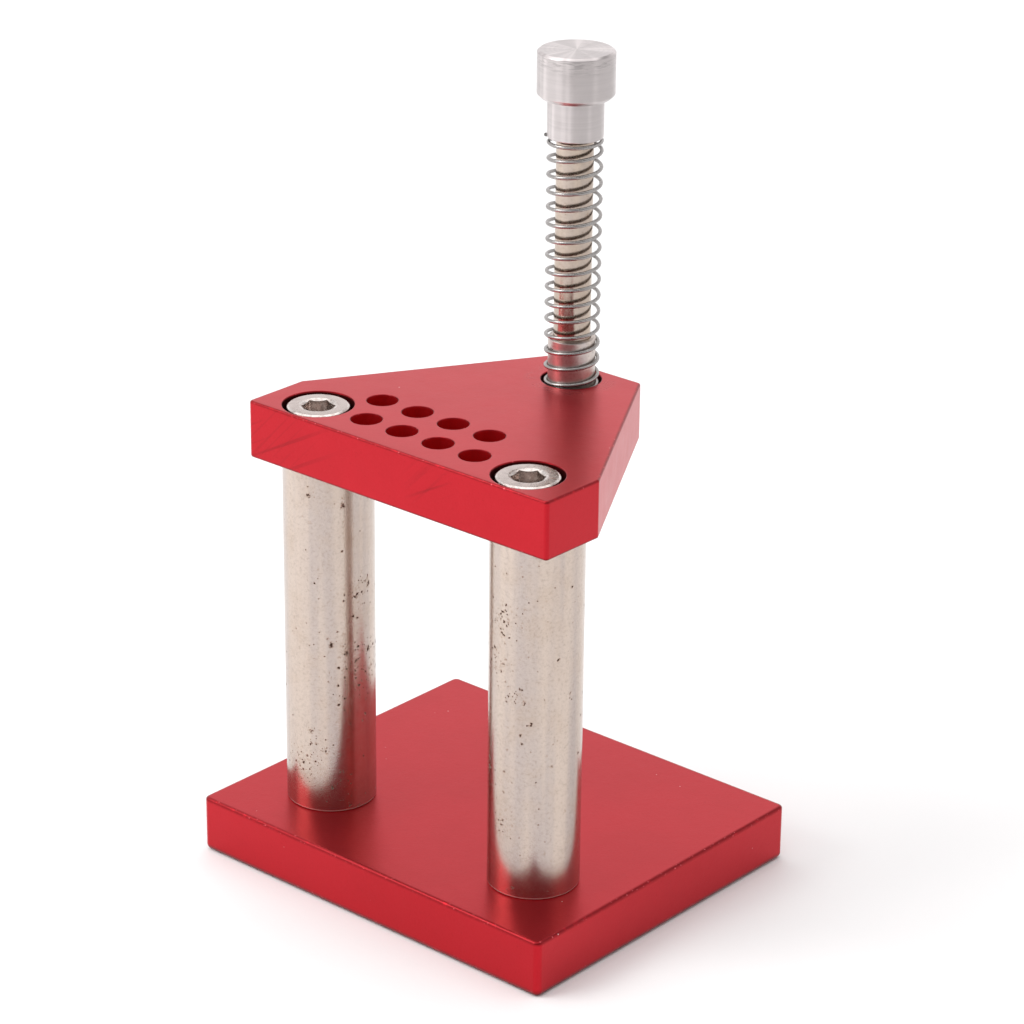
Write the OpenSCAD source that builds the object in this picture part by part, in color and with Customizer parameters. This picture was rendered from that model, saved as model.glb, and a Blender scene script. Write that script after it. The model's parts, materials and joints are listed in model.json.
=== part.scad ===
// Plunger press: a head plate on two columns over a flat base, with a knob,
// rod and coil spring that return by themselves.
// Origin at the centre of the base's underside, X along its front edge,
// Y towards the plunger, Z up. Millimetres.

/* [Base] */
// Width of the base along the front edge
base_w = 61; // [56:0.5:80]
// Depth of the base, front to back
base_d = 52; // [48:0.5:70]
// Thickness of the base
base_t = 8; // [8:0.5:16]
// Width of the chamfer on the edges of the base
base_cut = 0.6; // [0.2:0.1:1.2]

/* [Columns] */
// Diameter of each column
column_dia = 12.3; // [11:0.1:14]
// Length of each column between the two plates
column_len = 50; // [40:1:80]
// Distance of each column axis from the centre line
column_x = 18.4; // [17:0.1:19]
// Column axes, measured from the centre (negative is towards the front)
column_y = -13; // [-14:0.1:-12]

/* [Head plate] */
// Length of the front edge of the head plate
head_front_w = 52; // [50:0.5:58]
// Length of the rear edge of the head plate
head_rear_w = 16; // [12:0.5:20]
// Depth of the head plate, front edge to rear edge
head_d = 40.2; // [39.5:0.1:44]
// Length of the two short sides that run straight back from the front
head_side = 10; // [8:0.5:14]
// Thickness of the head plate
head_t = 8; // [8:0.5:12]
// Front edge of the head plate, measured from the centre
head_front_y = -20.2; // [-21:0.1:-19.8]
// Width of the chamfer on the edges of the head plate
head_cut = 0.3; // [0.2:0.1:0.4]

/* [Die storage] */
// Diameter of each storage hole
store_dia = 4.2; // [3:0.1:4.6]
// Distance between neighbouring holes in a row
store_pitch = 6.3; // [6:0.1:6.4]
// Number of holes in each row
store_count = 4; // [2:1:4]
// Place of the front row, measured from the centre
store_front_y = -14.6; // [-15.2:0.1:-14.4]
// Distance from the front row to the back row
store_row_gap = 6.4; // [6:0.1:8]

/* [Screws] */
// Thread diameter of the four cap screws
screw_dia = 5; // [4:1:5]
// Head diameter of the cap screws
screw_head_dia = 8.5; // [8:0.1:9]
// Diameter of the counterbores that take the heads
counterbore_dia = 9.6; // [9.2:0.1:9.8]
// Distance of the head plate's screws from the centre line
top_screw_x = 18.3; // [17.5:0.1:18.6]
// Place of the head plate's screws, measured from the centre
top_screw_y = -14.9; // [-14.9:0.1:-13]

/* [Plunger] */
// Place of the plunger axis, measured from the centre
plunger_y = 15; // [12:0.1:15]
// Diameter of the plunger rod
rod_dia = 5; // [4:0.1:5]
// Gap between rod and guide, on the radius
rod_gap = 0.03; // [0.01:0.01:0.08]
// Outside diameter of the guide sleeve
sleeve_dia = 6.4; // [6.2:0.1:6.5]
// How far the guide sleeve stands above the head plate
sleeve_rise = 6.1; // [4:0.1:8]
// Height of the knob's underside above the head plate, at rest
knob_lift = 33.8; // [30:0.1:40]
// Diameter of the knob's head
knob_dia = 10.3; // [9:0.1:14]
// Height of the knob's head
knob_head_h = 6.4; // [4:0.1:8]
// Diameter of the knob's neck
knob_neck_dia = 7.5; // [7.4:0.1:8]
// Height of the knob's neck
knob_neck_h = 5.3; // [4:0.1:8]

/* [Spring] */
// Mean diameter of the spring's coils
spring_mean_dia = 7.1; // [7:0.05:7.2]
// Wire diameter of the spring
wire_dia = 0.5; // [0.3:0.05:0.6]
// Number of working coils
spring_coils = 15; // [10:1:18]
// Direction in which both ends of the wire lie, about the plunger axis
spring_turn = 222; // [0:1:359]
// Depth of the pocket in the head plate that seats the spring
spring_seat = 1; // [0.8:0.1:3]
// Diameter of that pocket
spring_seat_dia = 8.2; // [8.2:0.1:8.6]

/* [Die socket] */
// Outside diameter of the die socket
socket_dia = 8; // [7.5:0.1:9]
// Length of the die socket
socket_len = 14; // [12:0.5:16]
// Depth of the hole that takes a die's shank
socket_depth = 7; // [5:0.5:8]
// How far the rod goes into the die socket
socket_grip = 6; // [4:0.5:6]

/* [Hidden] */

// colours
red = [0.78, 0.20, 0.24];
nickel = [0.74, 0.72, 0.69];
steel = [0.80, 0.80, 0.80];
turned = [0.84, 0.84, 0.85];

// heights
head_z = base_t + column_len;
head_top = head_z + head_t;
seat_z = head_top - spring_seat;
sleeve_top = head_top + sleeve_rise;
neck_z = head_top + knob_lift;
knob_z = neck_z + knob_neck_h;
knob_top = knob_z + knob_head_h;
socket_z = head_z - socket_len;

// screws: an M5 cap head is as high as its thread is thick
head_h = screw_dia;
key_af = 4;
key_depth = 2.5;
key_turn = 41;
clearance_dia = screw_dia + 0.5;
counterbore_depth = head_h + 0.1;
screw_len = 16;
base_screw_len = 14;
tap_spare = 1;

// head plate outline, counter-clockwise from the front left corner
side_x = head_front_w / 2;
rear_y = head_front_y + head_d;
head_outline = [[-side_x, head_front_y], [side_x, head_front_y],
                [side_x, head_front_y + head_side], [head_rear_w / 2, rear_y],
                [-head_rear_w / 2, rear_y], [-side_x, head_front_y + head_side]];
base_outline = [[-base_w / 2, -base_d / 2], [base_w / 2, -base_d / 2],
                [base_w / 2, base_d / 2], [-base_w / 2, base_d / 2]];

// storage holes: the middle of each row, the back row half a pitch further left
store_mid_x = -0.4;
store_rows = [[store_mid_x, store_front_y],
              [store_mid_x - store_pitch / 2, store_front_y + store_row_gap]];

// knob
rod_in_knob = knob_neck_h + 2;
knob_top_cut = 0.5;
knob_low_cut = 0.7;

// die screw
die_screw_dia = 2.5;
die_screw_gap = 0.1;
die_screw_key = 1.3;

// spring: one closed coil at each end, then the working coils
coil_steps = 16;
wire_sides = 6;
end_coils = 1;
total_coils = spring_coils + 2 * end_coils;
spring_rise = neck_z - seat_z - wire_dia;
work_rise = spring_rise - 2 * end_coils * wire_dia;

round_fn = 96;
small_fn = 48;
eps = 0.01;

// a corner of an outline cut off at both of its edges
function toward(a, b, d) = a + (b - a) * d / norm(b - a);
function cut_corners(pts, d) = [
    for (i = [0 : len(pts) - 1])
        let (before = pts[(i + len(pts) - 1) % len(pts)], after = pts[(i + 1) % len(pts)])
            each [toward(pts[i], before, d), toward(pts[i], after, d)]];

// height of the wire's centre after a number of coils
function wire_z(coil) =
    seat_z + wire_dia / 2 + (coil < end_coils ? coil * wire_dia
        : coil > total_coils - end_coils ? spring_rise - (total_coils - coil) * wire_dia
        : end_coils * wire_dia + (coil - end_coils) * work_rise / spring_coils);

// a flat plate whose every edge has a small chamfer
module chamfered_plate(outline, thickness, cut) {
    pts = cut_corners(outline, cut);
    difference() {
        linear_extrude(thickness) polygon(pts);
        for (i = [0 : len(pts) - 1], z = [0, thickness]) {
            a = pts[i];
            b = pts[(i + 1) % len(pts)];
            middle = (a + b) / 2;
            translate([middle.x, middle.y, z])
                rotate([0, 0, atan2(b.y - a.y, b.x - a.x)])
                    rotate([45, 0, 0])
                        cube([norm(b - a) + 2 * cut, cut * sqrt(2), cut * sqrt(2)], center = true);
        }
    }
}

// a through hole for a cap screw, with a counterbore that opens upwards at z = 0
module cap_screw_hole(plate_t) {
    translate([0, 0, -plate_t - eps])
        cylinder(d = clearance_dia, h = plate_t + 2 * eps, $fn = small_fn);
    translate([0, 0, -counterbore_depth])
        cylinder(d = counterbore_dia, h = counterbore_depth + eps, $fn = round_fn);
}

// a cap screw pointing down, with the top of its head at z = 0
module cap_screw(shank_len, turn) {
    edge = 0.3;
    color(steel) difference() {
        union() {
            rotate_extrude($fn = round_fn)
                polygon([[0, -head_h], [screw_head_dia / 2, -head_h], [screw_head_dia / 2, -edge],
                         [screw_head_dia / 2 - edge, 0], [0, 0]]);
            translate([0, 0, -head_h - shank_len])
                cylinder(d = screw_dia, h = shank_len + eps, $fn = small_fn);
        }
        translate([0, 0, -key_depth])
            rotate([0, 0, turn])
                cylinder(d = key_af / cos(30), h = key_depth + eps, $fn = 6);
    }
}

// a column with tapped holes, its side is -1 for the left one and 1 for the right one
module column(side) {
    edge = 0.3;
    r = column_dia / 2;
    base_tap = base_screw_len - (base_t - counterbore_depth) + tap_spare;
    head_tap = screw_len - (head_t - counterbore_depth) + tap_spare;
    color(nickel) difference() {
        translate([side * column_x, column_y, base_t])
            rotate_extrude($fn = round_fn)
                polygon([[0, 0], [r - edge, 0], [r, edge], [r, column_len - edge],
                         [r - edge, column_len], [0, column_len]]);
        translate([side * column_x, column_y, base_t - eps])
            cylinder(d = screw_dia, h = base_tap + eps, $fn = small_fn);
        translate([side * top_screw_x, top_screw_y, head_z - head_tap])
            cylinder(d = screw_dia, h = head_tap + eps, $fn = small_fn);
    }
}

module base_screw(side) {
    translate([side * column_x, column_y, counterbore_depth - head_h])
        mirror([0, 0, 1]) cap_screw(base_screw_len, 0);
}

module head_screw(side) {
    translate([side * top_screw_x, top_screw_y, head_top - counterbore_depth + head_h])
        cap_screw(screw_len, key_turn);
}

module base_plate() {
    color(red) difference() {
        chamfered_plate(base_outline, base_t, base_cut);
        for (side = [-1, 1])
            translate([side * column_x, column_y, 0])
                mirror([0, 0, 1]) cap_screw_hole(base_t);
    }
}

module head_plate() {
    color(red) difference() {
        translate([0, 0, head_z]) chamfered_plate(head_outline, head_t, head_cut);
        for (side = [-1, 1])
            translate([side * top_screw_x, top_screw_y, head_top]) cap_screw_hole(head_t);
        for (row = store_rows, i = [0 : store_count - 1])
            translate([row.x + (i - (store_count - 1) / 2) * store_pitch, row.y, head_z - eps])
                cylinder(d = store_dia, h = head_t + 2 * eps, $fn = small_fn);
        translate([0, plunger_y, head_z - eps])
            cylinder(d = sleeve_dia, h = head_t + 2 * eps, $fn = small_fn);
        translate([0, plunger_y, seat_z])
            cylinder(d = spring_seat_dia, h = spring_seat + eps, $fn = small_fn);
    }
}

module guide_sleeve() {
    r = sleeve_dia / 2;
    bore = rod_dia / 2 + rod_gap;
    edge = 0.15;
    color(steel) translate([0, plunger_y, 0])
        rotate_extrude($fn = round_fn)
            polygon([[bore, head_z], [r, head_z], [r, sleeve_top - edge],
                     [r - edge, sleeve_top], [bore, sleeve_top]]);
}

module plunger_rod() {
    low = head_z - socket_grip;
    color(nickel) translate([0, plunger_y, low])
        cylinder(d = rod_dia, h = neck_z + rod_in_knob - low, $fn = round_fn);
}

module plunger_knob() {
    r = knob_dia / 2;
    neck = knob_neck_dia / 2;
    hole = rod_dia / 2;
    color(turned) translate([0, plunger_y, 0])
        rotate_extrude($fn = round_fn)
            polygon([[hole, neck_z], [neck, neck_z], [neck, knob_z], [r - knob_low_cut, knob_z],
                     [r, knob_z + knob_low_cut], [r, knob_top - knob_top_cut],
                     [r - knob_top_cut, knob_top], [0, knob_top],
                     [0, neck_z + rod_in_knob], [hole, neck_z + rod_in_knob]]);
}

module return_spring() {
    rings = total_coils * coil_steps;
    points = [for (k = [0 : rings], j = [0 : wire_sides - 1])
        let (turn = 360 * k / coil_steps, around = 360 * j / wire_sides + 90,
             r = spring_mean_dia / 2 + wire_dia / 2 * cos(around))
            [r * cos(turn), r * sin(turn), wire_z(k / coil_steps) + wire_dia / 2 * sin(around)]];
    sides = [for (k = [0 : rings - 1], j = [0 : wire_sides - 1])
        let (a = k * wire_sides + j, b = k * wire_sides + (j + 1) % wire_sides)
            [a, b, b + wire_sides, a + wire_sides]];
    ends = [[for (j = [wire_sides - 1 : -1 : 0]) j],
            [for (j = [0 : wire_sides - 1]) rings * wire_sides + j]];
    color(steel) translate([0, plunger_y, 0]) rotate([0, 0, spring_turn])
        polyhedron(points, concat(sides, ends), convexity = 10);
}

module die_socket() {
    edge = 0.4;
    r = socket_dia / 2;
    color(nickel) translate([0, plunger_y, 0]) difference() {
        rotate_extrude($fn = round_fn)
            polygon([[0, socket_z], [r - edge, socket_z], [r, socket_z + edge],
                     [r, head_z - edge], [r - edge, head_z], [0, head_z]]);
        translate([0, 0, head_z - socket_grip])
            cylinder(d = rod_dia, h = socket_grip + eps, $fn = small_fn);
        translate([0, 0, socket_z - eps])
            cylinder(d = store_dia, h = socket_depth + eps, $fn = small_fn);
        translate([0, 0, socket_z + socket_depth / 2]) rotate([90, 0, 0])
            cylinder(d = die_screw_dia, h = r + 1, $fn = small_fn);
    }
}

// a grub screw in the front of the die socket, backed off so that the hole is free
module die_screw() {
    inner = store_dia / 2 + die_screw_gap;
    outer = socket_dia / 2 - 2 * die_screw_gap;
    color(steel) translate([0, plunger_y, socket_z + socket_depth / 2]) rotate([90, 0, 0])
        difference() {
            translate([0, 0, inner])
                cylinder(d = die_screw_dia, h = outer - inner, $fn = small_fn);
            translate([0, 0, outer - (outer - inner) / 2])
                cylinder(d = die_screw_key / cos(30), h = outer, $fn = 6);
        }
}

base_plate();
column(-1);  // column_left
column(1);  // column_right
base_screw(-1);  // base_screw_left
base_screw(1);  // base_screw_right
head_plate();
head_screw(-1);  // head_screw_left
head_screw(1);  // head_screw_right
guide_sleeve();
plunger_rod();
plunger_knob();
return_spring();
die_socket();
die_screw();
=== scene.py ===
"""Plunger press: the looks of a two-column hand press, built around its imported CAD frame."""
import json
import math

import bmesh
import bpy
from mathutils import Matrix, Vector


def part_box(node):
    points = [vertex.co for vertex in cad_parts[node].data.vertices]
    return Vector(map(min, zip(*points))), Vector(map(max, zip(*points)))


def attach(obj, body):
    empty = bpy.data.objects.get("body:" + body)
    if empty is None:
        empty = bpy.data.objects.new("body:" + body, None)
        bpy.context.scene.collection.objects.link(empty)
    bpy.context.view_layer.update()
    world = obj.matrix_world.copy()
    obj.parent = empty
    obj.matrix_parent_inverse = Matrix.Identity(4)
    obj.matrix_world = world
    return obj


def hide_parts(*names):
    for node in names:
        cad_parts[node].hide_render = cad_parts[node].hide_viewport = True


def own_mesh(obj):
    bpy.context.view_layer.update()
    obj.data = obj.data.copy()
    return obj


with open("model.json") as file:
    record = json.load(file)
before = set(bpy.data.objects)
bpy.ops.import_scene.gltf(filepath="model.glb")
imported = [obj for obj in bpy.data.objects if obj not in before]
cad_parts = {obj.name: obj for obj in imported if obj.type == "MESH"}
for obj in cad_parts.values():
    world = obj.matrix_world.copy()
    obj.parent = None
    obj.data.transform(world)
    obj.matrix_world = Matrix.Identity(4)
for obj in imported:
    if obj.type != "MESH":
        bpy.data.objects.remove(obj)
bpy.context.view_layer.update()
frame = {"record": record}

MM = 0.001
MOUNTS = {mount["name"]: mount for mount in frame["record"]["mounts"]}


# ---------------------------------------------------------------- sizes, in millimetres
def box_mm(node):
    """Lowest and highest corner of a CAD node, in millimetres."""
    low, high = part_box(node)
    return Vector(low) / MM, Vector(high) / MM


def middle_mm(node):
    """The middle of a CAD node's box, in millimetres."""
    low, high = box_mm(node)
    return (low + high) / 2


BASE_LOW, BASE_HIGH = box_mm("base_plate")
HEAD_LOW, HEAD_HIGH = box_mm("head_plate")
PLUNGER = middle_mm("plunger_rod").xy
KNOB_LOW, KNOB_HIGH = box_mm("plunger_knob")
SLEEVE_LOW, SLEEVE_HIGH = box_mm("guide_sleeve")
SPRING_LOW, SPRING_HIGH = box_mm("return_spring")
SOCKET_LOW, SOCKET_HIGH = box_mm("die_socket")
ROD_LOW, ROD_HIGH = box_mm("plunger_rod")
ROD_R = (ROD_HIGH.x - ROD_LOW.x) / 2
SLEEVE_R = (SLEEVE_HIGH.x - SLEEVE_LOW.x) / 2
SOCKET_R = (SOCKET_HIGH.x - SOCKET_LOW.x) / 2

BASE_CORNER_R = 0.9
BASE_TOP_EDGE_R = 0.42
BASE_FOOT_EDGE_R = 0.8
HEAD_CORNER_R = 0.55
HEAD_TOP_EDGE_R = 0.28
HEAD_LOW_EDGE_R = 0.3
COLUMN_EDGE_R = 0.25
HEAD_REAR_W = 16.0
HEAD_SIDE = 10.0
COUNTERBORE_R = 4.8
COUNTERBORE_DEPTH = 5.1
CLEARANCE_R = 2.75
SCREW_R = 2.5
SCREW_HEAD_R = 4.25
SCREW_HEAD_H = 5.0
SCREW_KEY_R = 2.0
SCREW_KEY_DEPTH = 2.0
TOP_TAP_DEPTH = 14.0
FOOT_TAP_DEPTH = 12.0
SPRING_POCKET_R = 4.1
WIRE_R = 0.25
SPRING_COILS = 15
SPRING_TURN = 222.0
RUN_GAP = 0.03
KNOB_NECK_R = 3.75
KNOB_NECK_H = 5.3
SOCKET_BORE_DEPTH = 7.0
GRUB_KEY_R = 0.65


# ---------------------------------------------------------------- mesh building
def rounded(points, radii, steps=4, closed=True):
    """The points of a line in a plane, with an arc of its own radius at each corner."""
    count = len(points)
    out = []
    for i, point in enumerate(points):
        corner = Vector(point)
        radius = radii[i] if isinstance(radii, (list, tuple)) else radii
        if radius == 0 or (not closed and i in (0, count - 1)):
            out.append(corner)
            continue
        before = (Vector(points[i - 1]) - corner).normalized()
        after = (Vector(points[(i + 1) % count]) - corner).normalized()
        half = before.angle(after) / 2
        centre = corner + (before + after).normalized() * radius / math.sin(half)
        start = corner + before * radius / math.tan(half) - centre
        end = corner + after * radius / math.tan(half) - centre
        sweep = math.atan2(start.x * end.y - start.y * end.x, start.dot(end))
        for k in range(steps + 1):
            turn = Matrix.Rotation(sweep * k / steps, 2)
            out.append(centre + turn @ start)
    return out


def circle(centre, radius, count, start=0.0):
    """Points of a circle, counter-clockwise."""
    turns = [start + 2 * math.pi * k / count for k in range(count)]
    return [Vector((centre[0] + radius * math.cos(a), centre[1] + radius * math.sin(a))) for a in turns]


def inset(points, distance):
    """A counter-clockwise outline moved inward by a distance."""
    out = []
    for i, point in enumerate(points):
        before = (point - points[i - 1]).normalized()
        after = (points[(i + 1) % len(points)] - point).normalized()
        inward = Vector((-before.y - after.y, before.x + after.x)).normalized()
        stretch = max(0.5, inward.dot(Vector((-before.y, before.x))))
        out.append(point + inward * distance / stretch)
    return out


class Builder:
    """Collects rings of points, in millimetres, into one closed mesh."""

    def __init__(self):
        self.bm = bmesh.new()
        self.edge = self.bm.verts.layers.float.new("edge")
        self.inside = self.bm.verts.layers.float.new("inside")

    def ring(self, points, z, edge=0.0, inside=0.0):
        """One ring of points. z is a height, or one height for each point."""
        verts = []
        for i, point in enumerate(points):
            height = z[i] if isinstance(z, (list, tuple)) else z
            vert = self.bm.verts.new((point[0] * MM, point[1] * MM, height * MM))
            vert[self.edge] = edge
            vert[self.inside] = inside
            verts.append(vert)
        return verts

    def bridge(self, upper, lower):
        """Quads between two rings with the same number of points."""
        for i in range(len(upper)):
            j = (i + 1) % len(upper)
            self.bm.faces.new((upper[i], lower[i], lower[j], upper[j]))

    def chain(self, rings):
        for upper, lower in zip(rings, rings[1:]):
            self.bridge(upper, lower)

    def cap(self, ring, z_tip=None):
        """Closes a ring with triangles that meet at one point about its middle."""
        middle = sum((v.co for v in ring), Vector()) / len(ring)
        tip = self.bm.verts.new(middle if z_tip is None else (middle.x, middle.y, z_tip * MM))
        for i in range(len(ring)):
            self.bm.faces.new((ring[i], ring[(i + 1) % len(ring)], tip))

    def fill(self, rings):
        """Fills the flat area between an outer ring and the rings of the holes in it."""
        edges = []
        for ring in rings:
            for i in range(len(ring)):
                edges.append(self.bm.edges.get((ring[i], ring[(i + 1) % len(ring)])))
        bmesh.ops.triangle_fill(self.bm, use_beauty=True, edges=edges)

    def finish(self, name, material, sharp=38.0):
        """The object: smooth faces, sharp edges over an angle, flat faces kept flat."""
        bmesh.ops.recalc_face_normals(self.bm, faces=self.bm.faces)
        mesh = bpy.data.meshes.new(name)
        self.bm.to_mesh(mesh)
        self.bm.free()
        mesh.shade_smooth()
        mesh.set_sharp_from_angle(angle=math.radians(sharp))
        piece = bpy.data.objects.new(name, mesh)
        bpy.context.scene.collection.objects.link(piece)
        normals = piece.modifiers.new("flat_faces", "WEIGHTED_NORMAL")
        normals.keep_sharp = True
        normals.weight = 90
        piece.data.materials.append(material)
        return piece


ARC_STEPS = 4


def quarter(radius, steps=ARC_STEPS):
    """(inset, drop, edge) along a rounded edge, from the flat to the wall."""
    out = []
    for k in range(steps + 1):
        a = math.pi / 2 * k / steps
        out.append((radius * (1 - math.sin(a)), radius * (1 - math.cos(a)), math.sin(2 * a) * 0.6 + 0.4))
    return out


def hole(build, centre, steps, lip_high, lip_low, inside, skirt):
    """A round hole. Its steps are (radius, z) from the high end to the low end. An end with a lip opens
    into a flat face and gives back its ring there; an end with no lip is blind. inside marks its wall:
    1 for a bright bore, -1 for a shaded one."""
    count = max(40, int(steps[0][0] * 16))

    def ring(radius, z, *marks):
        return build.ring(circle(centre, radius, count), z, *marks)

    def lip(radius, z, size, down):
        """The rings of a rounded lip, from the face to the wall. down is 1 at the high end, else -1."""
        arc = [ring(radius + step, z - drop * down, edge) for step, drop, edge in quarter(size, 2)]
        return [ring(radius + size + skirt, z), *arc, ring(radius, z - (size + 0.1) * down, 0.0, inside)]

    rings = lip(*steps[0], lip_high, 1) if lip_high else []
    for radius, z in steps[1 if lip_high else 0:-1 if lip_low else None]:
        rings.append(ring(radius, z, 0.0, inside))
    if lip_low:
        rings += reversed(lip(*steps[-1], lip_low, -1))
    build.chain(rings)
    if not lip_high:
        build.cap(rings[0])
    if not lip_low:
        build.cap(rings[-1])
    return rings[0] if lip_high else None, rings[-1] if lip_low else None


def block(name, outline, low, high, round_high, round_low, holes, material, skirt=0.2):
    """A plate or bar with rounded edges and round holes. A hole is its centre, steps, lips and inside."""
    build = Builder()
    rings = [build.ring(inset(outline, round_high + skirt), high)]
    for step, drop, edge in quarter(round_high):
        rings.append(build.ring(inset(outline, step), high - drop, edge))
    rings.append(build.ring(outline, high - round_high - skirt))
    rings.append(build.ring(outline, low + round_low + skirt))
    for step, rise, edge in reversed(quarter(round_low)):
        rings.append(build.ring(inset(outline, step), low + rise, edge))
    rings.append(build.ring(inset(outline, round_low + skirt), low))
    build.chain(rings)
    high_rings, low_rings = [rings[0]], [rings[-1]]
    for centre, steps, lip_high, lip_low, inside in holes:
        at_high, at_low = hole(build, centre, steps, lip_high, lip_low, inside, skirt / 4)
        high_rings += [at_high] if at_high else []
        low_rings += [at_low] if at_low else []
    build.fill(high_rings)
    build.fill(low_rings)
    return build.finish(name, material)


def lathe(name, centre, profile, material, count=96, ring=False, sharp=38.0):
    """A turned piece. Its profile is (radius, z) points, from axis to axis, or round a closed ring."""
    build = Builder()
    rings = []
    for radius, z in profile:
        if radius > 0:
            rings.append(build.ring(circle(centre, radius, count), z))
    build.chain(rings)
    if ring:
        build.bridge(rings[-1], rings[0])
    else:
        build.cap(rings[0], profile[0][1])
        build.cap(rings[-1], profile[-1][1])
    return build.finish(name, material, sharp)


def around(centre, turns, reach):
    """Points about a centre in the given directions, at one distance or at one for each direction."""
    middle = Vector(centre)
    return [middle + Vector((math.cos(a), math.sin(a))) * (reach(a) if callable(reach) else reach)
            for a in turns]


def hex_radius(key_r, turn):
    """A function that gives the distance from the axis to a hexagon's side, for a direction."""
    return lambda a: key_r / math.cos((a - turn) % (math.pi / 3) - math.pi / 6)


def cap_screw(name, centre, top, shank, turn, material, facing=1):
    """A hexagon socket cap screw. facing 1 has its head up, with its top at that height, -1 has it down."""
    turns = [2 * math.pi * k / 144 for k in range(144)]
    side = hex_radius(SCREW_KEY_R, turn)
    mouth_r, mouth_slope = SCREW_KEY_R / math.cos(math.pi / 6) + 0.18, 0.55
    head_r, floor, end = SCREW_HEAD_R, SCREW_KEY_DEPTH, SCREW_HEAD_H + shank
    knurls, knurl_depth = 36, 0.09

    def knurled(a):
        return head_r - knurl_depth * (0.5 - 0.5 * math.cos(a * knurls))

    def level(depth):
        """The height at a depth below the top of the head."""
        return [top - facing * d for d in depth] if isinstance(depth, list) else top - facing * depth

    build = Builder()
    # The edge mark of 1 on the socket's floor and the foot of its walls paints light there; the chamfers'
    # marks are wear.
    steps = [(1.4, floor + 0.15, 0), (lambda a: side(a) - 0.25, floor, 1), (side, floor, 1),
             (side, [(mouth_r - side(a)) * mouth_slope for a in turns], 0.5), (mouth_r, 0, 0.8),
             (mouth_r + 0.15, 0, 0), (head_r - 0.45, 0, 0), (head_r - 0.32, 0.02, 0.8),
             (head_r - 0.1, 0.16, 0.8), (head_r - 0.03, 0.3, 0.4), (knurled, 0.5, 0),
             (knurled, SCREW_HEAD_H - 0.2, 0), (head_r - 0.2, SCREW_HEAD_H, 0), (SCREW_R, SCREW_HEAD_H, 0),
             (SCREW_R, end - 0.5, 0), (SCREW_R - 0.5, end, 0)]
    rings = [build.ring(around(centre, turns, reach), level(depth), edge) for reach, depth, edge in steps]
    build.chain(rings)
    build.cap(rings[0], level(floor + 0.6))
    build.cap(rings[-1])
    return build.finish(name, material, sharp=30.0)


def grub_screw(name, radius, length, key_r, place, material):
    """A hexagon socket grub screw that points back from its place, its socket towards the front."""
    turns = [2 * math.pi * k / 96 for k in range(96)]
    side = hex_radius(key_r, 0.3)
    mouth_r = key_r / math.cos(math.pi / 6) + 0.08
    floor = length / 2
    steps = [(side, -floor, 0), (side, [(side(a) - mouth_r) * 0.6 for a in turns], 0.5), (mouth_r, 0, 0.6),
             (radius - 0.22, 0, 0), (radius - 0.15, -0.02, 0.6), (radius, -0.2, 0.6),
             (radius, 0.2 - length, 0), (radius - 0.2, -length, 0)]
    build = Builder()
    rings = [build.ring(around((0, 0), turns, reach), z, edge) for reach, z, edge in steps]
    build.chain(rings)
    build.cap(rings[0], -floor - 0.15)
    build.cap(rings[-1])
    piece = build.finish(name, material, sharp=30.0)
    forward = Matrix.Rotation(math.pi / 2, 4, "X")
    piece.data.transform(Matrix.Translation(Vector(place) * MM) @ forward)
    return piece


def cut(piece, cutter):
    """Takes one piece's shape out of another, for good, and removes it."""
    boolean = piece.modifiers.new("cut", "BOOLEAN")
    boolean.object = cutter
    boolean.operation = "DIFFERENCE"
    boolean.solver = "EXACT"
    bpy.context.view_layer.objects.active = piece
    with bpy.context.temp_override(object=piece, active_object=piece):
        bpy.ops.object.modifier_move_to_index(modifier="cut", index=0)
        bpy.ops.object.modifier_apply(modifier="cut")
    bpy.data.objects.remove(cutter)


def helix_spring(name, centre, low, high, mean_r, material):
    """A compression spring with a closed coil at each end and a wire end that turns out at the top."""
    steps, sides, flare_share = 44, 12, 0.1
    coils = SPRING_COILS + 2
    rise = high - low - 2 * WIRE_R
    pitch = (rise - 4 * WIRE_R) / SPRING_COILS
    start = math.radians(SPRING_TURN)

    def path(coil):
        """The wire's centre after a number of coils."""
        height = max(0.0, min(coil, 1)) * 2 * WIRE_R + max(0.0, min(coil - 1, SPRING_COILS)) * pitch
        height += max(0.0, coil - 1 - SPRING_COILS) * 2 * WIRE_R
        flare = max(0.0, (coil - coils + flare_share) / flare_share) ** 2
        radius = mean_r + 0.35 * flare
        a = start + 2 * math.pi * coil
        return Vector((centre[0] + radius * math.cos(a), centre[1] + radius * math.sin(a),
                       low + WIRE_R + height + 0.45 * flare))

    build = Builder()
    rings = []
    total = int(coils * steps)
    for k in range(total + 1):
        coil = k / steps
        here = path(coil)
        along = (path(coil + 0.001) - path(coil - 0.001)).normalized()
        outward = Vector((here.x - centre[0], here.y - centre[1], 0)).normalized()
        up = along.cross(outward).normalized()
        outward = up.cross(along).normalized()
        points, heights = [], []
        for j in range(sides):
            b = 2 * math.pi * j / sides
            p = here + (outward * math.cos(b) + up * math.sin(b)) * WIRE_R
            points.append(p.xy)
            heights.append(p.z)
        rings.append(build.ring(points, heights))
    build.chain(rings)
    build.cap(rings[0])
    build.cap(rings[-1])
    return build.finish(name, material, sharp=60.0)


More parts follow.
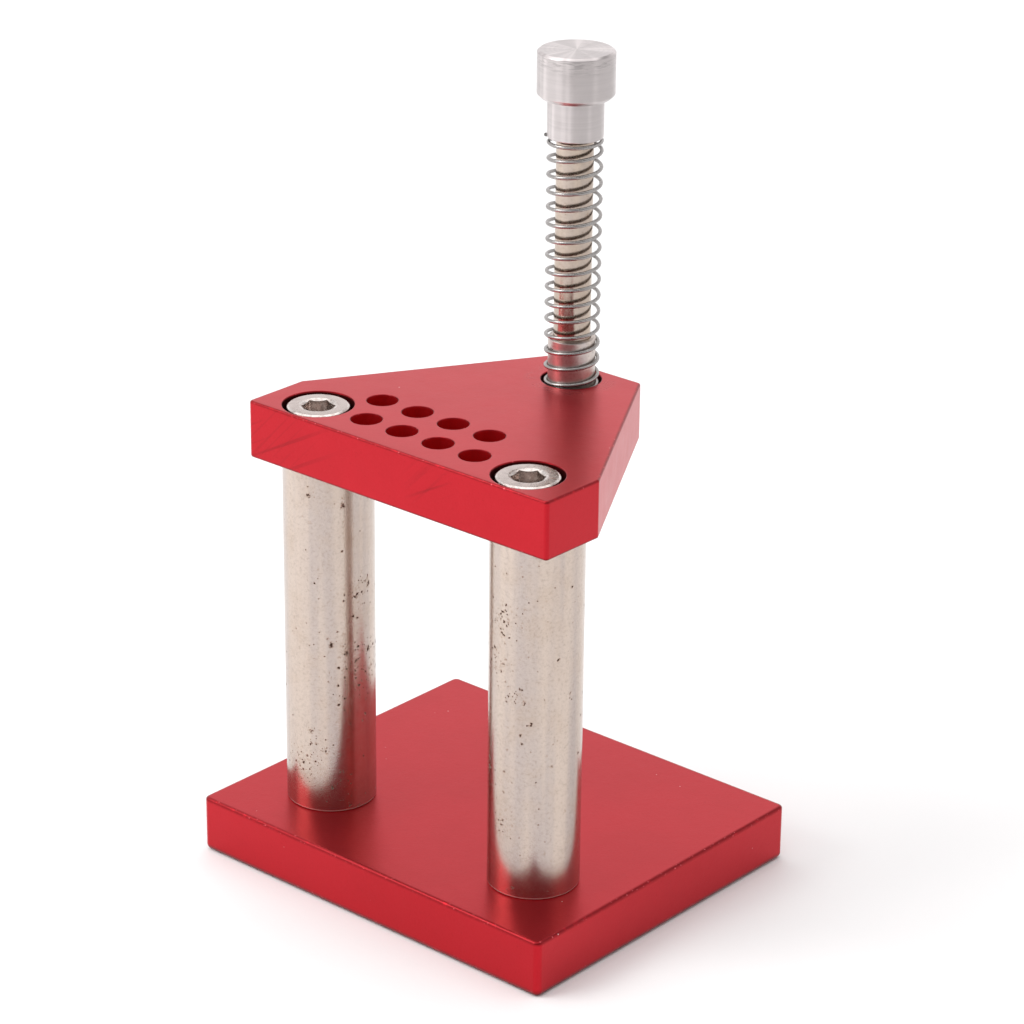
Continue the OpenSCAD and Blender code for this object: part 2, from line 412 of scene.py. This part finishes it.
# ---------------------------------------------------------------- material building
class Shader:
    """A node material, built by naming nodes and what goes into them."""

    def __init__(self, name, **principled):
        self.material = bpy.data.materials.new(name)
        self.material.use_nodes = True
        self.tree = self.material.node_tree
        self.tree.nodes.clear()
        out = self.tree.nodes.new("ShaderNodeOutputMaterial")
        self.surface = self.add("ShaderNodeBsdfPrincipled", **principled)
        self.tree.links.new(self.surface.outputs[0], out.inputs["Surface"])
        coords = self.tree.nodes.new("ShaderNodeTexCoord")
        in_mm = self.add("ShaderNodeVectorMath", {"operation": "SCALE"}, Vector=coords.outputs["Object"],
                         Scale=1 / MM)
        self.place = in_mm.outputs[0]

    def add(self, kind, settings=None, **inputs):
        """A node with its settings, and its inputs as values or as sockets to link from."""
        node = self.tree.nodes.new(kind)
        for key, value in (settings or {}).items():
            setattr(node, key, value)
        for key, value in inputs.items():
            self.give(node, key.replace("_", " "), value)
        return node

    def give(self, node, key, value):
        """Sets or links one input, by its name or number."""
        numbered = key.startswith("in") and key[2:].isdigit()
        socket = node.inputs[int(key[2:]) if numbered else key]
        if isinstance(value, bpy.types.NodeSocket):
            self.tree.links.new(value, socket)
        elif isinstance(value, (list, tuple)) and len(value) == 3 and len(socket.default_value) == 4:
            socket.default_value = (*value, 1.0)
        else:
            socket.default_value = value

    def math(self, operation, a, b=0.0, clamp=False):
        node = self.add("ShaderNodeMath", {"operation": operation, "use_clamp": clamp}, in0=a, in1=b)
        return node.outputs[0]

    def vector(self, operation, a, b=(0, 0, 0), out=0):
        """A sum with vectors. Output 0 is a vector, and "Value" is a number."""
        return self.add("ShaderNodeVectorMath", {"operation": operation}, in0=a, in1=b).outputs[out]

    def noise(self, scale, detail=3.0, rough=0.5, place=None, distortion=0.0):
        """Noise from 0 to 1. scale is in cycles for each millimetre."""
        node = self.add("ShaderNodeTexNoise", Vector=place or self.place, Scale=scale, Detail=detail,
                        Roughness=rough, Distortion=distortion)
        return node.outputs["Fac"]

    def stretch(self, along, across, scale_along, scale_across):
        """Coordinates squeezed to two directions, for streaks that run along the first."""
        def part(direction, scale):
            return self.math("MULTIPLY", self.vector("DOT_PRODUCT", self.place, direction, "Value"), scale)

        node = self.add("ShaderNodeCombineXYZ", X=part(along, scale_along), Y=part(across, scale_across))
        return node.outputs[0]

    def ramp(self, value, low, high, to_low=0.0, to_high=1.0):
        """A smooth step of a value."""
        node = self.add("ShaderNodeMapRange", {"interpolation_type": "SMOOTHSTEP", "clamp": True},
                        Value=value, From_Min=low, From_Max=high, To_Min=to_low, To_Max=to_high)
        return node.outputs[0]

    def mix(self, share, a, b):
        """A colour between two, each given or linked."""
        node = self.add("ShaderNodeMix", {"data_type": "RGBA"})
        self.give(node, "in0", share)
        self.give(node, "in6", a)
        self.give(node, "in7", b)
        return node.outputs[2]

    def wash(self, color, where, share, to):
        """A colour with another laid over it where a mask is 1, to a share of full strength."""
        return self.mix(self.math("MULTIPLY", where, share), color, to)

    def blend(self, share, a, b):
        """A number between two."""
        node = self.add("ShaderNodeMix", {"data_type": "FLOAT"})
        self.give(node, "in0", share)
        self.give(node, "in2", a)
        self.give(node, "in3", b)
        return node.outputs[0]

    def spots(self, scale, radius, chance):
        """1 inside round spots. scale is cells for each millimetre, radius in millimetres."""
        node = self.add("ShaderNodeTexVoronoi", {"feature": "F1"}, Vector=self.place, Scale=scale)
        near = self.ramp(node.outputs["Distance"], radius * scale, radius * scale * 0.6)
        chosen = self.add("ShaderNodeSeparateColor", Color=node.outputs["Color"]).outputs[0]
        return self.math("MULTIPLY", near, self.math("LESS_THAN", chosen, chance))

    def attribute(self, name):
        return self.add("ShaderNodeAttribute", {"attribute_name": name}).outputs["Fac"]

    def near(self, point, reach):
        """1 at a point, in millimetres, fading to 0 at its reach."""
        return self.ramp(self.vector("DISTANCE", self.place, point, "Value"), reach, 0.0)

    def bump(self, height, distance, strength=1.0, under=None):
        """A normal from a height of 0 to 1. distance is that height in millimetres."""
        node = self.add("ShaderNodeBump", Height=height, Distance=distance * MM, Strength=strength)
        if under is not None:
            self.give(node, "Normal", under)
        return node.outputs[0]

    def use(self, **inputs):
        for key, value in inputs.items():
            self.give(self.surface, key.replace("_", " "), value)
        return self.material


# ---------------------------------------------------------------- materials
RED = (0.51, 0.009, 0.019)
DEEP_RED = (0.36, 0.005, 0.009)
PALE_RED = (0.60, 0.06, 0.09)
BARE = (0.75, 0.55, 0.55)
# A bright pink-red for nicks in the edges, painted as highlights along them.
NICK_HIGHLIGHT_RED = (0.80, 0.14, 0.16)
# Painted light: a lighter red for the walls of the storage bores.
BORE_LIGHT_RED = (0.60, 0.011, 0.016)
DARK_RED = (0.13, 0.003, 0.005)
# Painted shade: a dark red for the walls of the counterbores and the spring pocket.
SHADE_RED = (0.10, 0.008, 0.008)
NICKEL = (0.57, 0.487, 0.44)
PIT = (0.050, 0.022, 0.013)


def dim(tint, share):
    """A colour at a share of its strength."""
    return tuple(c * share for c in tint)


def anodised(name, scratched_at=(), worn_at=None):
    """Satin red anodising: fine grain, a few specks, painted shade along the edges, nicks painted as bright
    highlights, and bores painted lighter or in shade. scratched_at is where scratches lie on a face,
    worn_at the axis of a worn ring."""
    s = Shader(name, Coat_Roughness=0.34)
    cloud = s.noise(0.09, 4.0, 0.6)
    color = s.mix(s.ramp(cloud, 0.35, 0.7), RED, s.mix(0.15, RED, DEEP_RED))
    grain = s.noise(3.2, 3.0, 0.75)
    color = s.wash(color, s.ramp(grain, 0.45, 0.25), 0.45, DEEP_RED)
    color = s.wash(color, s.ramp(grain, 0.55, 0.75), 0.10, PALE_RED)
    scratched, depth = 0.0, s.add("ShaderNodeSeparateXYZ", Vector=s.place).outputs[1]
    for point, reach in scratched_at:
        on_face = s.ramp(depth, point[1] + 0.3, point[1] + 0.1)
        scratched = s.math("MAXIMUM", scratched, s.math("MULTIPLY", s.near(point, reach), on_face))
    slope = math.radians(28)
    for turn, width, share in ((slope, 1.3, 0.34), (slope + 0.3, 2.2, 0.14)) if scratched_at else ():
        along = (math.cos(turn), 0, math.sin(turn))
        across = (-math.sin(turn), 0, math.cos(turn))
        streak = s.ramp(s.noise(1.0, 1.0, 0.3, s.stretch(along, across, 0.03, width)), 0.60, 0.70)
        color = s.wash(color, s.math("MULTIPLY", streak, scratched), share, DARK_RED)
    edge = s.attribute("edge")
    # Painted shade: a dark red laid in patches along the rounded edges, where they mirror the dim room.
    painted_edge_shade = s.math("MULTIPLY", s.ramp(s.noise(0.8, 4.0, 0.7), 0.25, 0.5), edge)
    color = s.wash(color, painted_edge_shade, 0.75, DARK_RED)
    # Nicks in the edges, painted bright pink-red as highlights along them.
    nicks_and_highlight = s.math("MULTIPLY", s.ramp(s.noise(2.4, 2.0, 0.6), 0.64, 0.72), edge)
    color = s.wash(color, nicks_and_highlight, 0.8, NICK_HIGHLIGHT_RED)
    speck = s.math("MAXIMUM", s.spots(0.2, 0.12, 0.5), s.spots(0.4, 0.07, 0.25))
    color = s.wash(color, speck, 0.75, BARE)
    rough = s.blend(s.noise(0.35, 4.0, 0.65), 0.26, 0.36)
    if worn_at is not None:
        flat = s.vector("MULTIPLY", s.place, (1, 1, 0))
        reach = s.vector("DISTANCE", flat, (*worn_at, 0), "Value")
        ring = s.math("MULTIPLY", s.ramp(reach, 4.3, 4.8), s.ramp(reach, 6.8, 5.6))
        swirl = s.ramp(s.noise(0.35, 2.0, 0.5, distortion=0.8), 0.35, 0.6)
        rub = s.math("MULTIPLY", ring, swirl)
        color = s.wash(color, rub, 0.28, DEEP_RED)
        rough = s.blend(s.math("MULTIPLY", rub, 0.5), rough, 0.2)
    # Painted light and shade in the bores: walls marked 1 take a lighter red, walls marked -1 a dark red.
    inside = s.attribute("inside")
    bore = s.math("MAXIMUM", inside, 0.0)
    shade = s.math("MAXIMUM", s.math("MULTIPLY", inside, -1.0), 0.0)
    color = s.mix(shade, s.mix(bore, color, BORE_LIGHT_RED), SHADE_RED)
    deep = s.math("MAXIMUM", bore, shade)
    normal = s.bump(grain, 0.007)
    dents = s.bump(s.math("ADD", s.noise(0.8, 3.0), s.math("MULTIPLY", nicks_and_highlight, -1.5)), 0.012, under=normal)
    return s.use(Base_Color=color, Roughness=s.blend(deep, rough, 0.42), Normal=dents,
                 Metallic=s.blend(deep, 0.85, 0.8), Coat_Weight=s.blend(deep, 0.10, 0.0))


def nickel(name, zones=(), pits=1.0, tint=NICKEL, rough=0.15, painted_foot_shade=None, relief=1.0):
    """Old nickel plate: soft bands of painted reflection along it, a fine grain, and brown pits that crowd
    in given zones.
    Its foot's painted shade fades out between the two heights given for it, in millimetres."""
    s = Shader(name)

    def shade(red, green, blue):
        return tint[0] * red, tint[1] * green, tint[2] * blue

    # Painted reflection: soft lighter cream and darker grey bands running along its length.
    tall = s.vector("MULTIPLY", s.place, (1, 1, 0.03))
    painted_reflection_band = s.noise(0.38, 2.0, 0.5, tall)
    color = s.mix(s.ramp(painted_reflection_band, 0.36, 0.62), shade(1.06, 1.04, 1.0), shade(0.88, 0.88, 0.90))
    tarnish = s.ramp(s.noise(0.2, 4.0, 0.65), 0.42, 0.75)
    color = s.wash(color, tarnish, 0.45, shade(0.88, 0.80, 0.70))
    mottle = s.noise(2.6, 4.0, 0.75)
    color = s.wash(color, s.ramp(mottle, 0.48, 0.72), 0.42, shade(0.50, 0.45, 0.40))
    color = s.wash(color, s.ramp(mottle, 0.45, 0.28), 0.3, shade(1.22, 1.2, 1.18))
    crowd = s.ramp(s.noise(0.10, 2.0), 0.6, 0.8, 0.0, 0.2)
    for point, reach in zones:
        crowd = s.math("MAXIMUM", crowd, s.near(point, reach))
    jitter = s.noise(3.1, 4.0, 0.75)
    ragged_by = s.math("MULTIPLY", s.math("SUBTRACT", jitter, 0.5), 1.5)
    pit, halo = 0.0, 0.0
    for scale, radius, chance in ((0.75, 0.30, 0.35), (1.5, 0.15, 0.5), (2.9, 0.08, 0.55)):
        node = s.add("ShaderNodeTexVoronoi", {"feature": "F1"}, Vector=s.place, Scale=scale)
        ragged = s.math("ADD", node.outputs["Distance"], ragged_by)
        size = radius * scale * pits
        chosen = s.add("ShaderNodeSeparateColor", Color=node.outputs["Color"]).outputs[1]
        share = s.math("MULTIPLY", s.math("ADD", crowd, 0.03), chance)
        there = s.math("LESS_THAN", chosen, share)
        pit = s.math("MAXIMUM", pit, s.math("MULTIPLY", s.ramp(ragged, size, size * 0.5), there))
        halo = s.math("MAXIMUM", halo, s.math("MULTIPLY", s.ramp(ragged, size * 2.2, size), there))
    color = s.wash(color, halo, 0.4, shade(0.62, 0.46, 0.32))
    color = s.wash(color, pit, 0.92, PIT)
    roughness = s.blend(s.noise(0.9, 4.0, 0.7), rough, rough + 0.12)
    if painted_foot_shade is not None:
        # Painted shade: the colour darkens towards the foot, where the column meets the base.
        height = s.add("ShaderNodeSeparateXYZ", Vector=s.place).outputs[2]
        wander = s.math("MULTIPLY", s.math("SUBTRACT", s.noise(0.6, 4.0, 0.7), 0.5), 7.0)
        foot_shade_mask = s.ramp(s.math("ADD", height, wander), painted_foot_shade[1], painted_foot_shade[0])
        color = s.wash(color, foot_shade_mask, 0.4, shade(0.46, 0.38, 0.34))
        roughness = s.blend(s.math("MULTIPLY", foot_shade_mask, 0.4), roughness, 0.3)
    edge = s.attribute("edge")
    color = s.wash(color, edge, 0.8, (0.80, 0.72, 0.66))
    metal = s.math("SUBTRACT", 1.0, s.math("MULTIPLY", s.math("MAXIMUM", pit, edge), 0.8))
    gloss = s.math("SUBTRACT", 0.5, s.math("MULTIPLY", pit, 0.45))
    ground = s.noise(1.0, 3.0, 0.6, s.stretch((0.7, 0.7, 0), (0, 0, 1), 0.25, 7.0))
    fine = s.bump(ground, 0.0022 * relief)
    grit = s.bump(s.noise(4.5, 2.0, 0.6), 0.008 * relief, under=fine)
    peel = s.bump(s.math("ADD", s.noise(1.5, 3.0, 0.65), s.math("MULTIPLY", mottle, 0.5)), 0.006 * relief,
                  under=grit)
    sunk = s.bump(pit, -0.05 * relief, under=peel)
    return s.use(Base_Color=color, Roughness=s.blend(pit, roughness, 0.8), Metallic=metal, Normal=sunk,
                 Specular_IOR_Level=gloss)


def turned(name, centre, top, tint, rough=0.30):
    """Lathe-turned aluminium: rings round the axis on its side and its end, painted sheen in sectors round
    the axis, bruised near its top edge.
    """
    s = Shader(name, Metallic=1.0)
    from_axis = s.vector("SUBTRACT", s.place, (*centre, 0))
    parts = s.add("ShaderNodeSeparateXYZ", Vector=from_axis)
    reach = s.math("SQRT", s.math("ADD", s.math("POWER", parts.outputs[0], 2.0),
                                  s.math("POWER", parts.outputs[1], 2.0)))
    height = parts.outputs[2]
    rings = s.add("ShaderNodeCombineXYZ", X=reach, Y=height).outputs[0]
    coarse = s.noise(2.2, 2.0, 0.6, rings)
    fine = s.noise(9.0, 2.0, 0.6, rings)
    color = s.mix(s.ramp(coarse, 0.35, 0.7), tint, dim(tint, 0.9))
    way = s.vector("NORMALIZE", s.vector("MULTIPLY", from_axis, (1, 1, 0)))
    # Painted sheen: lighter and darker sectors round the axis, on its end and down its side.
    painted_sheen = s.noise(1.7, 2.0, 0.6, way)
    color = s.wash(color, s.ramp(painted_sheen, 0.38, 0.6), 0.5, dim(tint, 0.72))
    color = s.wash(color, s.ramp(painted_sheen, 0.46, 0.34), 0.6, dim(tint, 1.25))
    below = s.math("SUBTRACT", top, height)
    bruised = s.math("MULTIPLY", s.ramp(below, 3.2, 0.6), s.ramp(below, 0.35, 0.5))
    broken = s.ramp(s.noise(1.0, 3.0, 0.7, s.vector("MULTIPLY", s.place, (0.5, 0.5, 5.0))), 0.5, 0.64)
    color = s.wash(color, s.math("MULTIPLY", bruised, broken), 0.55, dim(tint, 0.42))
    smudge = s.ramp(s.noise(0.5, 4.0, 0.65), 0.5, 0.75)
    color = s.wash(color, smudge, 0.25, dim(tint, 0.7))
    dent = s.spots(0.7, 0.12, 0.25)
    color = s.wash(color, dent, 0.5, dim(tint, 0.35))
    normal = s.bump(s.math("ADD", coarse, s.math("MULTIPLY", fine, 0.5)), 0.0035)
    normal = s.bump(dent, -0.03, under=normal)
    tangent = s.add("ShaderNodeTangent", {"direction_type": "RADIAL", "axis": "Z"}).outputs[0]
    return s.use(Base_Color=color, Roughness=s.blend(smudge, rough, rough + 0.1), Normal=normal,
                 Anisotropic=0.3, Anisotropic_Rotation=0.25, Tangent=tangent)


def bright_steel(name, tint, rough=0.2, marks=1.0):
    """Plated steel of screws and springs: small smudges, dents, worn edges, and painted light on a socket's
    floor marked as an edge.
    """
    s = Shader(name, Metallic=1.0)
    smudge = s.ramp(s.noise(0.9, 5.0, 0.65, distortion=0.4), 0.45, 0.72)
    color = s.wash(tint, smudge, 0.4 * marks, dim(tint, 0.6))
    dark = s.spots(1.3, 0.14, 0.3 * marks)
    color = s.wash(color, dark, 0.6, dim(tint, 0.25))
    # Worn edges, and painted light on a screw socket's floor, both lightened through the edge marks.
    edge = s.math("MULTIPLY", s.attribute("edge"), s.ramp(s.noise(1.8, 2.0), 0.4, 0.6))
    color = s.wash(color, edge, 0.5, (0.95, 0.93, 0.90))
    normal = s.bump(s.noise(2.6, 4.0, 0.7), 0.008 * marks)
    normal = s.bump(dark, -0.03, under=normal)
    return s.use(Base_Color=color, Roughness=s.blend(smudge, rough, rough + 0.15), Normal=normal)


def pitted(node, zones):
    """Zones on a column's surface, each given by its direction in degrees, its height and its reach."""
    low, high = box_mm(node)
    middle, radius = (low + high) / 2, (high.x - low.x) / 2
    out = []
    for azimuth, height, reach in zones:
        a = math.radians(azimuth)
        point = (middle.x + radius * math.cos(a), middle.y + radius * math.sin(a), height)
        out.append((point, reach))
    return out


FOOT = (BASE_HIGH.z + 1, BASE_HIGH.z + 8)
HEAD_SCRATCHES = [((HEAD_LOW.x + 4, HEAD_LOW.y, 62), 15), ((6, HEAD_LOW.y, 63), 6)]
LEFT_PITS = [(-66, 17, 3.2), (-88, 15, 4.5), (-32, 13.5, 2.2), (-5, 41, 3.5), (2, 29, 6.5), (-25, 33, 2.5)]
RIGHT_PITS = [(-100, 47, 4.5), (-104, 41, 3.5), (-78, 37, 2.2), (-122, 26, 2.5), (-92, 18, 2.5)]
MATERIALS = {
    "red_base": anodised("red_base"),
    "red_head": anodised("red_head", HEAD_SCRATCHES, PLUNGER),
    "column_left": nickel("nickel_left", pitted("column_left", LEFT_PITS), painted_foot_shade=FOOT),
    "column_right": nickel("nickel_right", pitted("column_right", RIGHT_PITS), painted_foot_shade=FOOT),
    "rod": nickel("nickel_rod", pits=0.6, tint=(0.53, 0.445, 0.38), rough=0.11, relief=0.25),
    "sleeve": nickel("nickel_sleeve", pits=0.3, tint=(0.60, 0.545, 0.52), rough=0.27),
    "socket": nickel("nickel_socket", pits=0.6, tint=(0.60, 0.54, 0.50), rough=0.2),
    "knob": turned("turned_knob", PLUNGER, KNOB_HIGH.z, (0.61, 0.565, 0.56)),
    "spring": bright_steel("spring_wire", (0.35, 0.335, 0.325), 0.26, 0.2),
    "screw": bright_steel("screw_plate", (0.55, 0.475, 0.445), 0.22),
}


# ---------------------------------------------------------------- pieces
def keep(piece, body, slot, *nodes):
    """A finished piece: what it rides on and the CAD nodes it stands for. Its slot is not used."""
    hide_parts(*nodes)
    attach(piece, body)
    return piece


def make_base():
    low, high = BASE_LOW, BASE_HIGH
    corners = [(low.x, low.y), (high.x, low.y), (high.x, high.y), (low.x, high.y)]
    holes = []
    for node in ("column_left", "column_right"):
        steps = [(CLEARANCE_R, high.z), (CLEARANCE_R, COUNTERBORE_DEPTH),
                 (COUNTERBORE_R, COUNTERBORE_DEPTH), (COUNTERBORE_R, low.z)]
        holes.append((middle_mm(node).xy, steps, 0.1, 0.2, -1))
    outline = rounded(corners, BASE_CORNER_R, 6)
    piece = block("base", outline, low.z, high.z, BASE_TOP_EDGE_R, BASE_FOOT_EDGE_R, holes,
                  MATERIALS["red_base"])
    return keep(piece, "press_frame", "red_anodised", "base_plate")


def make_head():
    low, high = HEAD_LOW, HEAD_HIGH
    rear = HEAD_REAR_W / 2
    corners = [(low.x, low.y), (high.x, low.y), (high.x, low.y + HEAD_SIDE), (rear, high.y),
               (-rear, high.y), (low.x, low.y + HEAD_SIDE)]
    holes = []
    for node in ("head_screw_left", "head_screw_right"):
        floor = high.z - COUNTERBORE_DEPTH
        steps = [(COUNTERBORE_R, high.z), (COUNTERBORE_R, floor), (CLEARANCE_R, floor),
                 (CLEARANCE_R, low.z)]
        holes.append((middle_mm(node).xy, steps, 0.1, 0.1, -1))
    for mount in MOUNTS.values():
        if mount["name"].startswith("storage_hole"):
            radius = mount["dims"]["r_mm"]
            centre = Vector(mount["pos_m"]).xy / MM
            holes.append((centre, [(radius, high.z), (radius, low.z)], 0.12, 0.12, 1))
    steps = [(SPRING_POCKET_R, high.z), (SPRING_POCKET_R, SPRING_LOW.z), (SLEEVE_R, SPRING_LOW.z),
             (SLEEVE_R, low.z)]
    holes.append((PLUNGER, steps, 0.12, 0.1, -1))
    outline = rounded(corners, HEAD_CORNER_R)
    piece = block("head", outline, low.z, high.z, HEAD_TOP_EDGE_R, HEAD_LOW_EDGE_R, holes,
                  MATERIALS["red_head"], 0.12)
    return keep(piece, "press_frame", "red_anodised", "head_plate")


def make_column(node):
    low, high = box_mm(node)
    axis = middle_mm(node).xy
    top_tap = middle_mm(node.replace("column", "head_screw")).xy
    holes = [(top_tap, [(SCREW_R, high.z), (SCREW_R, high.z - TOP_TAP_DEPTH)], 0.1, 0, -1),
             (axis, [(SCREW_R, low.z + FOOT_TAP_DEPTH), (SCREW_R, low.z)], 0, 0.1, -1)]
    outline = circle(axis, (high.x - low.x) / 2, 128)
    piece = block(f"{node}_turned", outline, low.z, high.z, COLUMN_EDGE_R, COLUMN_EDGE_R, holes,
                  MATERIALS[node], 0.1)
    return keep(piece, "press_frame", "column_nickel", node)


def make_screws():
    for word in ("left", "right"):
        for plate, facing in (("head", 1), ("base", -1)):
            node = f"{plate}_screw_{word}"
            low, high = box_mm(node)
            top = high.z if facing > 0 else low.z
            shank = high.z - low.z - SCREW_HEAD_H
            turn = math.radians({"left": 44, "right": 40}[word])
            piece = cap_screw(f"{plate}_cap_screw_{word}", middle_mm(node).xy, top, shank, turn,
                              MATERIALS["screw"], facing)
            keep(piece, "press_frame", "screw_steel", node)


def make_sleeve():
    low, high = SLEEVE_LOW.z, SLEEVE_HIGH.z
    bore = ROD_R + RUN_GAP
    profile = [(bore, low), (SLEEVE_R, low), (SLEEVE_R, high), (bore, high)]
    profile = [tuple(p) for p in rounded(profile, [0, 0.1, 0.22, 0.12], 3)]
    piece = lathe("sleeve", PLUNGER, profile, MATERIALS["sleeve"], ring=True)
    return keep(piece, "press_frame", "sleeve_steel", "guide_sleeve")


def make_rod():
    low, high = ROD_LOW.z, ROD_HIGH.z
    profile = [(0, high), (ROD_R, high), (ROD_R, low), (0, low)]
    profile = [tuple(p) for p in rounded(profile, [0, 0.3, 0.3, 0], 3, closed=False)]
    piece = lathe("rod", PLUNGER, profile, MATERIALS["rod"])
    return keep(piece, "plunger", "rod_nickel", "plunger_rod")


def make_knob():
    low, high = KNOB_LOW.z, KNOB_HIGH.z
    radius = (KNOB_HIGH.x - KNOB_LOW.x) / 2
    shoulder = low + KNOB_NECK_H
    profile = [(0, high), (radius - 0.35, high), (radius, high - 0.3), (radius, shoulder + 0.55),
               (radius - 0.6, shoulder), (KNOB_NECK_R, shoulder), (KNOB_NECK_R, low), (ROD_R, low),
               (ROD_R, ROD_HIGH.z), (0, ROD_HIGH.z)]
    softness = [0, 0.12, 0.15, 0.25, 0.25, 0.08, 0.15, 0.1, 0, 0]
    profile = [tuple(p) for p in rounded(profile, softness, 3, closed=False)]
    piece = lathe("knob", PLUNGER, profile, MATERIALS["knob"], count=128, sharp=50.0)
    return keep(piece, "plunger", "knob_aluminium", "plunger_knob")


def make_spring():
    mean_r = (SPRING_HIGH.x - SPRING_LOW.x) / 2 - WIRE_R
    piece = helix_spring("spring", PLUNGER, SPRING_LOW.z, SPRING_HIGH.z, mean_r, MATERIALS["spring"])
    keep(piece, "press_frame", "spring_steel", "return_spring")
    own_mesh(piece)


def make_socket():
    """The die socket with its bore and cross hole, and the grub screw that grips a die in it."""
    low, high = SOCKET_LOW.z, SOCKET_HIGH.z
    bore_r, bore_top = MOUNTS["die_socket_bore"]["dims"]["r_mm"], low + SOCKET_BORE_DEPTH
    profile = [(0, bore_top), (bore_r, bore_top), (bore_r, low), (SOCKET_R, low), (SOCKET_R, high),
               (ROD_R, high), (ROD_R, ROD_LOW.z), (0, ROD_LOW.z)]
    profile = [tuple(p) for p in rounded(profile, [0, 0, 0.25, 0.45, 0.45, 0.15, 0, 0], 4, closed=False)]
    piece = lathe("die_holder", PLUNGER, profile, MATERIALS["socket"])
    screw_low, screw_high = box_mm("die_screw")
    middle, radius = (screw_low + screw_high) / 2, (screw_high.x - screw_low.x) / 2
    cutter = lathe("cutter", (0, 0), [(0, SOCKET_R + 1), (radius, SOCKET_R + 1), (radius, 0), (0, 0)],
                   MATERIALS["socket"], count=64)
    cutter.data.transform(Matrix.Translation(Vector((*PLUNGER, middle.z)) * MM) @
                          Matrix.Rotation(math.pi / 2, 4, "X"))
    cut(piece, cutter)
    keep(piece, "plunger", "rod_nickel", "die_socket")
    screw = grub_screw("die_grub_screw", radius, screw_high.y - screw_low.y, GRUB_KEY_R,
                       (middle.x, screw_low.y, middle.z), MATERIALS["screw"])
    keep(screw, "plunger", "screw_steel", "die_screw")


# ---------------------------------------------------------------- studio
OPEN_SIDE = (0.65, -0.76, 0.0)
SWEEP_LIGHT = 1.15
OVERHEAD_LIGHT = 0.45
ROOM_SHARE = 0.4
FLOOR_HALF = 4000
FLOOR_Z = -0.01  # just clear of the base's underside, which would share its plane
FOCAL_SHARE = 3.46892  # the lens's focal length over the width of its frame
FRAME_WIDTH = 36.0
CAMERA_PLACE = (287.383, -327.964, 233.917)
CAMERA_FORWARD = (-0.60451, 0.696532, -0.386536)
CAMERA_RIGHT = (0.752511, 0.658507, 0.009757)


def make_floor():
    s = Shader("floor_paper", Roughness=0.9)
    tone = s.mix(s.noise(0.02, 3.0), (0.90, 0.90, 0.90), (0.93, 0.93, 0.93))
    s.use(Base_Color=tone, Normal=s.bump(s.noise(1.2, 3.0), 0.02))
    corners = [(FLOOR_HALF * x, FLOOR_HALF * y) for x, y in ((-1, -1), (1, -1), (1, 1), (-1, 1))]
    build = Builder()
    build.bm.faces.new(build.ring(corners, FLOOR_Z))
    build.finish("floor", s.material)


def make_light(name, place, aim, width, power):
    """A square white light over the stage, in metres and watts."""
    data = bpy.data.lights.new(name, "AREA")
    data.shape = "SQUARE"
    data.size = width
    data.energy = power
    light = bpy.data.objects.new(name, data)
    bpy.context.scene.collection.objects.link(light)
    light.location = place
    light.rotation_euler = (Vector(aim) - Vector(place)).to_track_quat("-Z", "Y").to_euler()


def make_world():
    """A bright sweep all round the press, dimmer overhead and on the studio's open side."""
    world = bpy.data.worlds.new("studio")
    bpy.context.scene.world = world
    world.use_nodes = True
    tree = world.node_tree
    back = tree.nodes["Background"]

    def add(kind, settings, *sources):
        node = tree.nodes.new(kind)
        for key, value in settings.items():
            setattr(node, key, value)
        for i, source in enumerate(sources):
            if isinstance(source, bpy.types.NodeSocket):
                tree.links.new(source, node.inputs[i])
            else:
                node.inputs[i].default_value = source
        return node

    def step(value, low, high, to_low, to_high):
        settings = {"interpolation_type": "SMOOTHSTEP"}
        return add("ShaderNodeMapRange", settings, value, low, high, to_low, to_high).outputs[0]

    way = tree.nodes.new("ShaderNodeTexCoord").outputs["Generated"]
    height = add("ShaderNodeSeparateXYZ", {}, way).outputs[2]
    toward = add("ShaderNodeVectorMath", {"operation": "DOT_PRODUCT"}, way, OPEN_SIDE).outputs["Value"]
    sweep = step(height, 0.42, 0.70, SWEEP_LIGHT, OVERHEAD_LIGHT)
    room = step(toward, 0.35, 0.75, 1.0, ROOM_SHARE)
    tree.links.new(add("ShaderNodeMath", {"operation": "MULTIPLY"}, sweep, room).outputs[0],
                   back.inputs["Strength"])
    back.inputs["Color"].default_value = (1.0, 0.98, 0.985, 1.0)


def make_camera():
    """At the photograph's view: a long lens from the front right, a little above."""
    data = bpy.data.cameras.new("camera")
    data.sensor_width = FRAME_WIDTH
    data.lens = FOCAL_SHARE * FRAME_WIDTH
    data.clip_start = 0.01
    camera = bpy.data.objects.new("camera", data)
    bpy.context.scene.collection.objects.link(camera)
    forward = Vector(CAMERA_FORWARD).normalized()
    right = Vector(CAMERA_RIGHT).normalized()
    turn = Matrix((right, right.cross(forward), -forward)).transposed()
    camera.matrix_world = Matrix.Translation(Vector(CAMERA_PLACE) * MM) @ turn.to_4x4()
    bpy.context.scene.camera = camera


make_base()
make_head()
make_column("column_left")
make_column("column_right")
make_screws()
make_sleeve()
make_rod()
make_knob()
make_spring()
make_socket()
make_floor()
make_world()
make_light("overhead", (-0.15, 0.05, 1.1), (0, 0, 0), 1.6, 10.0)
make_light("key", (-0.32, -0.42, 0.5), (-0.12, -0.16, 0), 0.35, 2.1)
make_camera()
scene = bpy.context.scene
scene.view_settings.view_transform = "Standard"
scene.view_settings.look = "None"
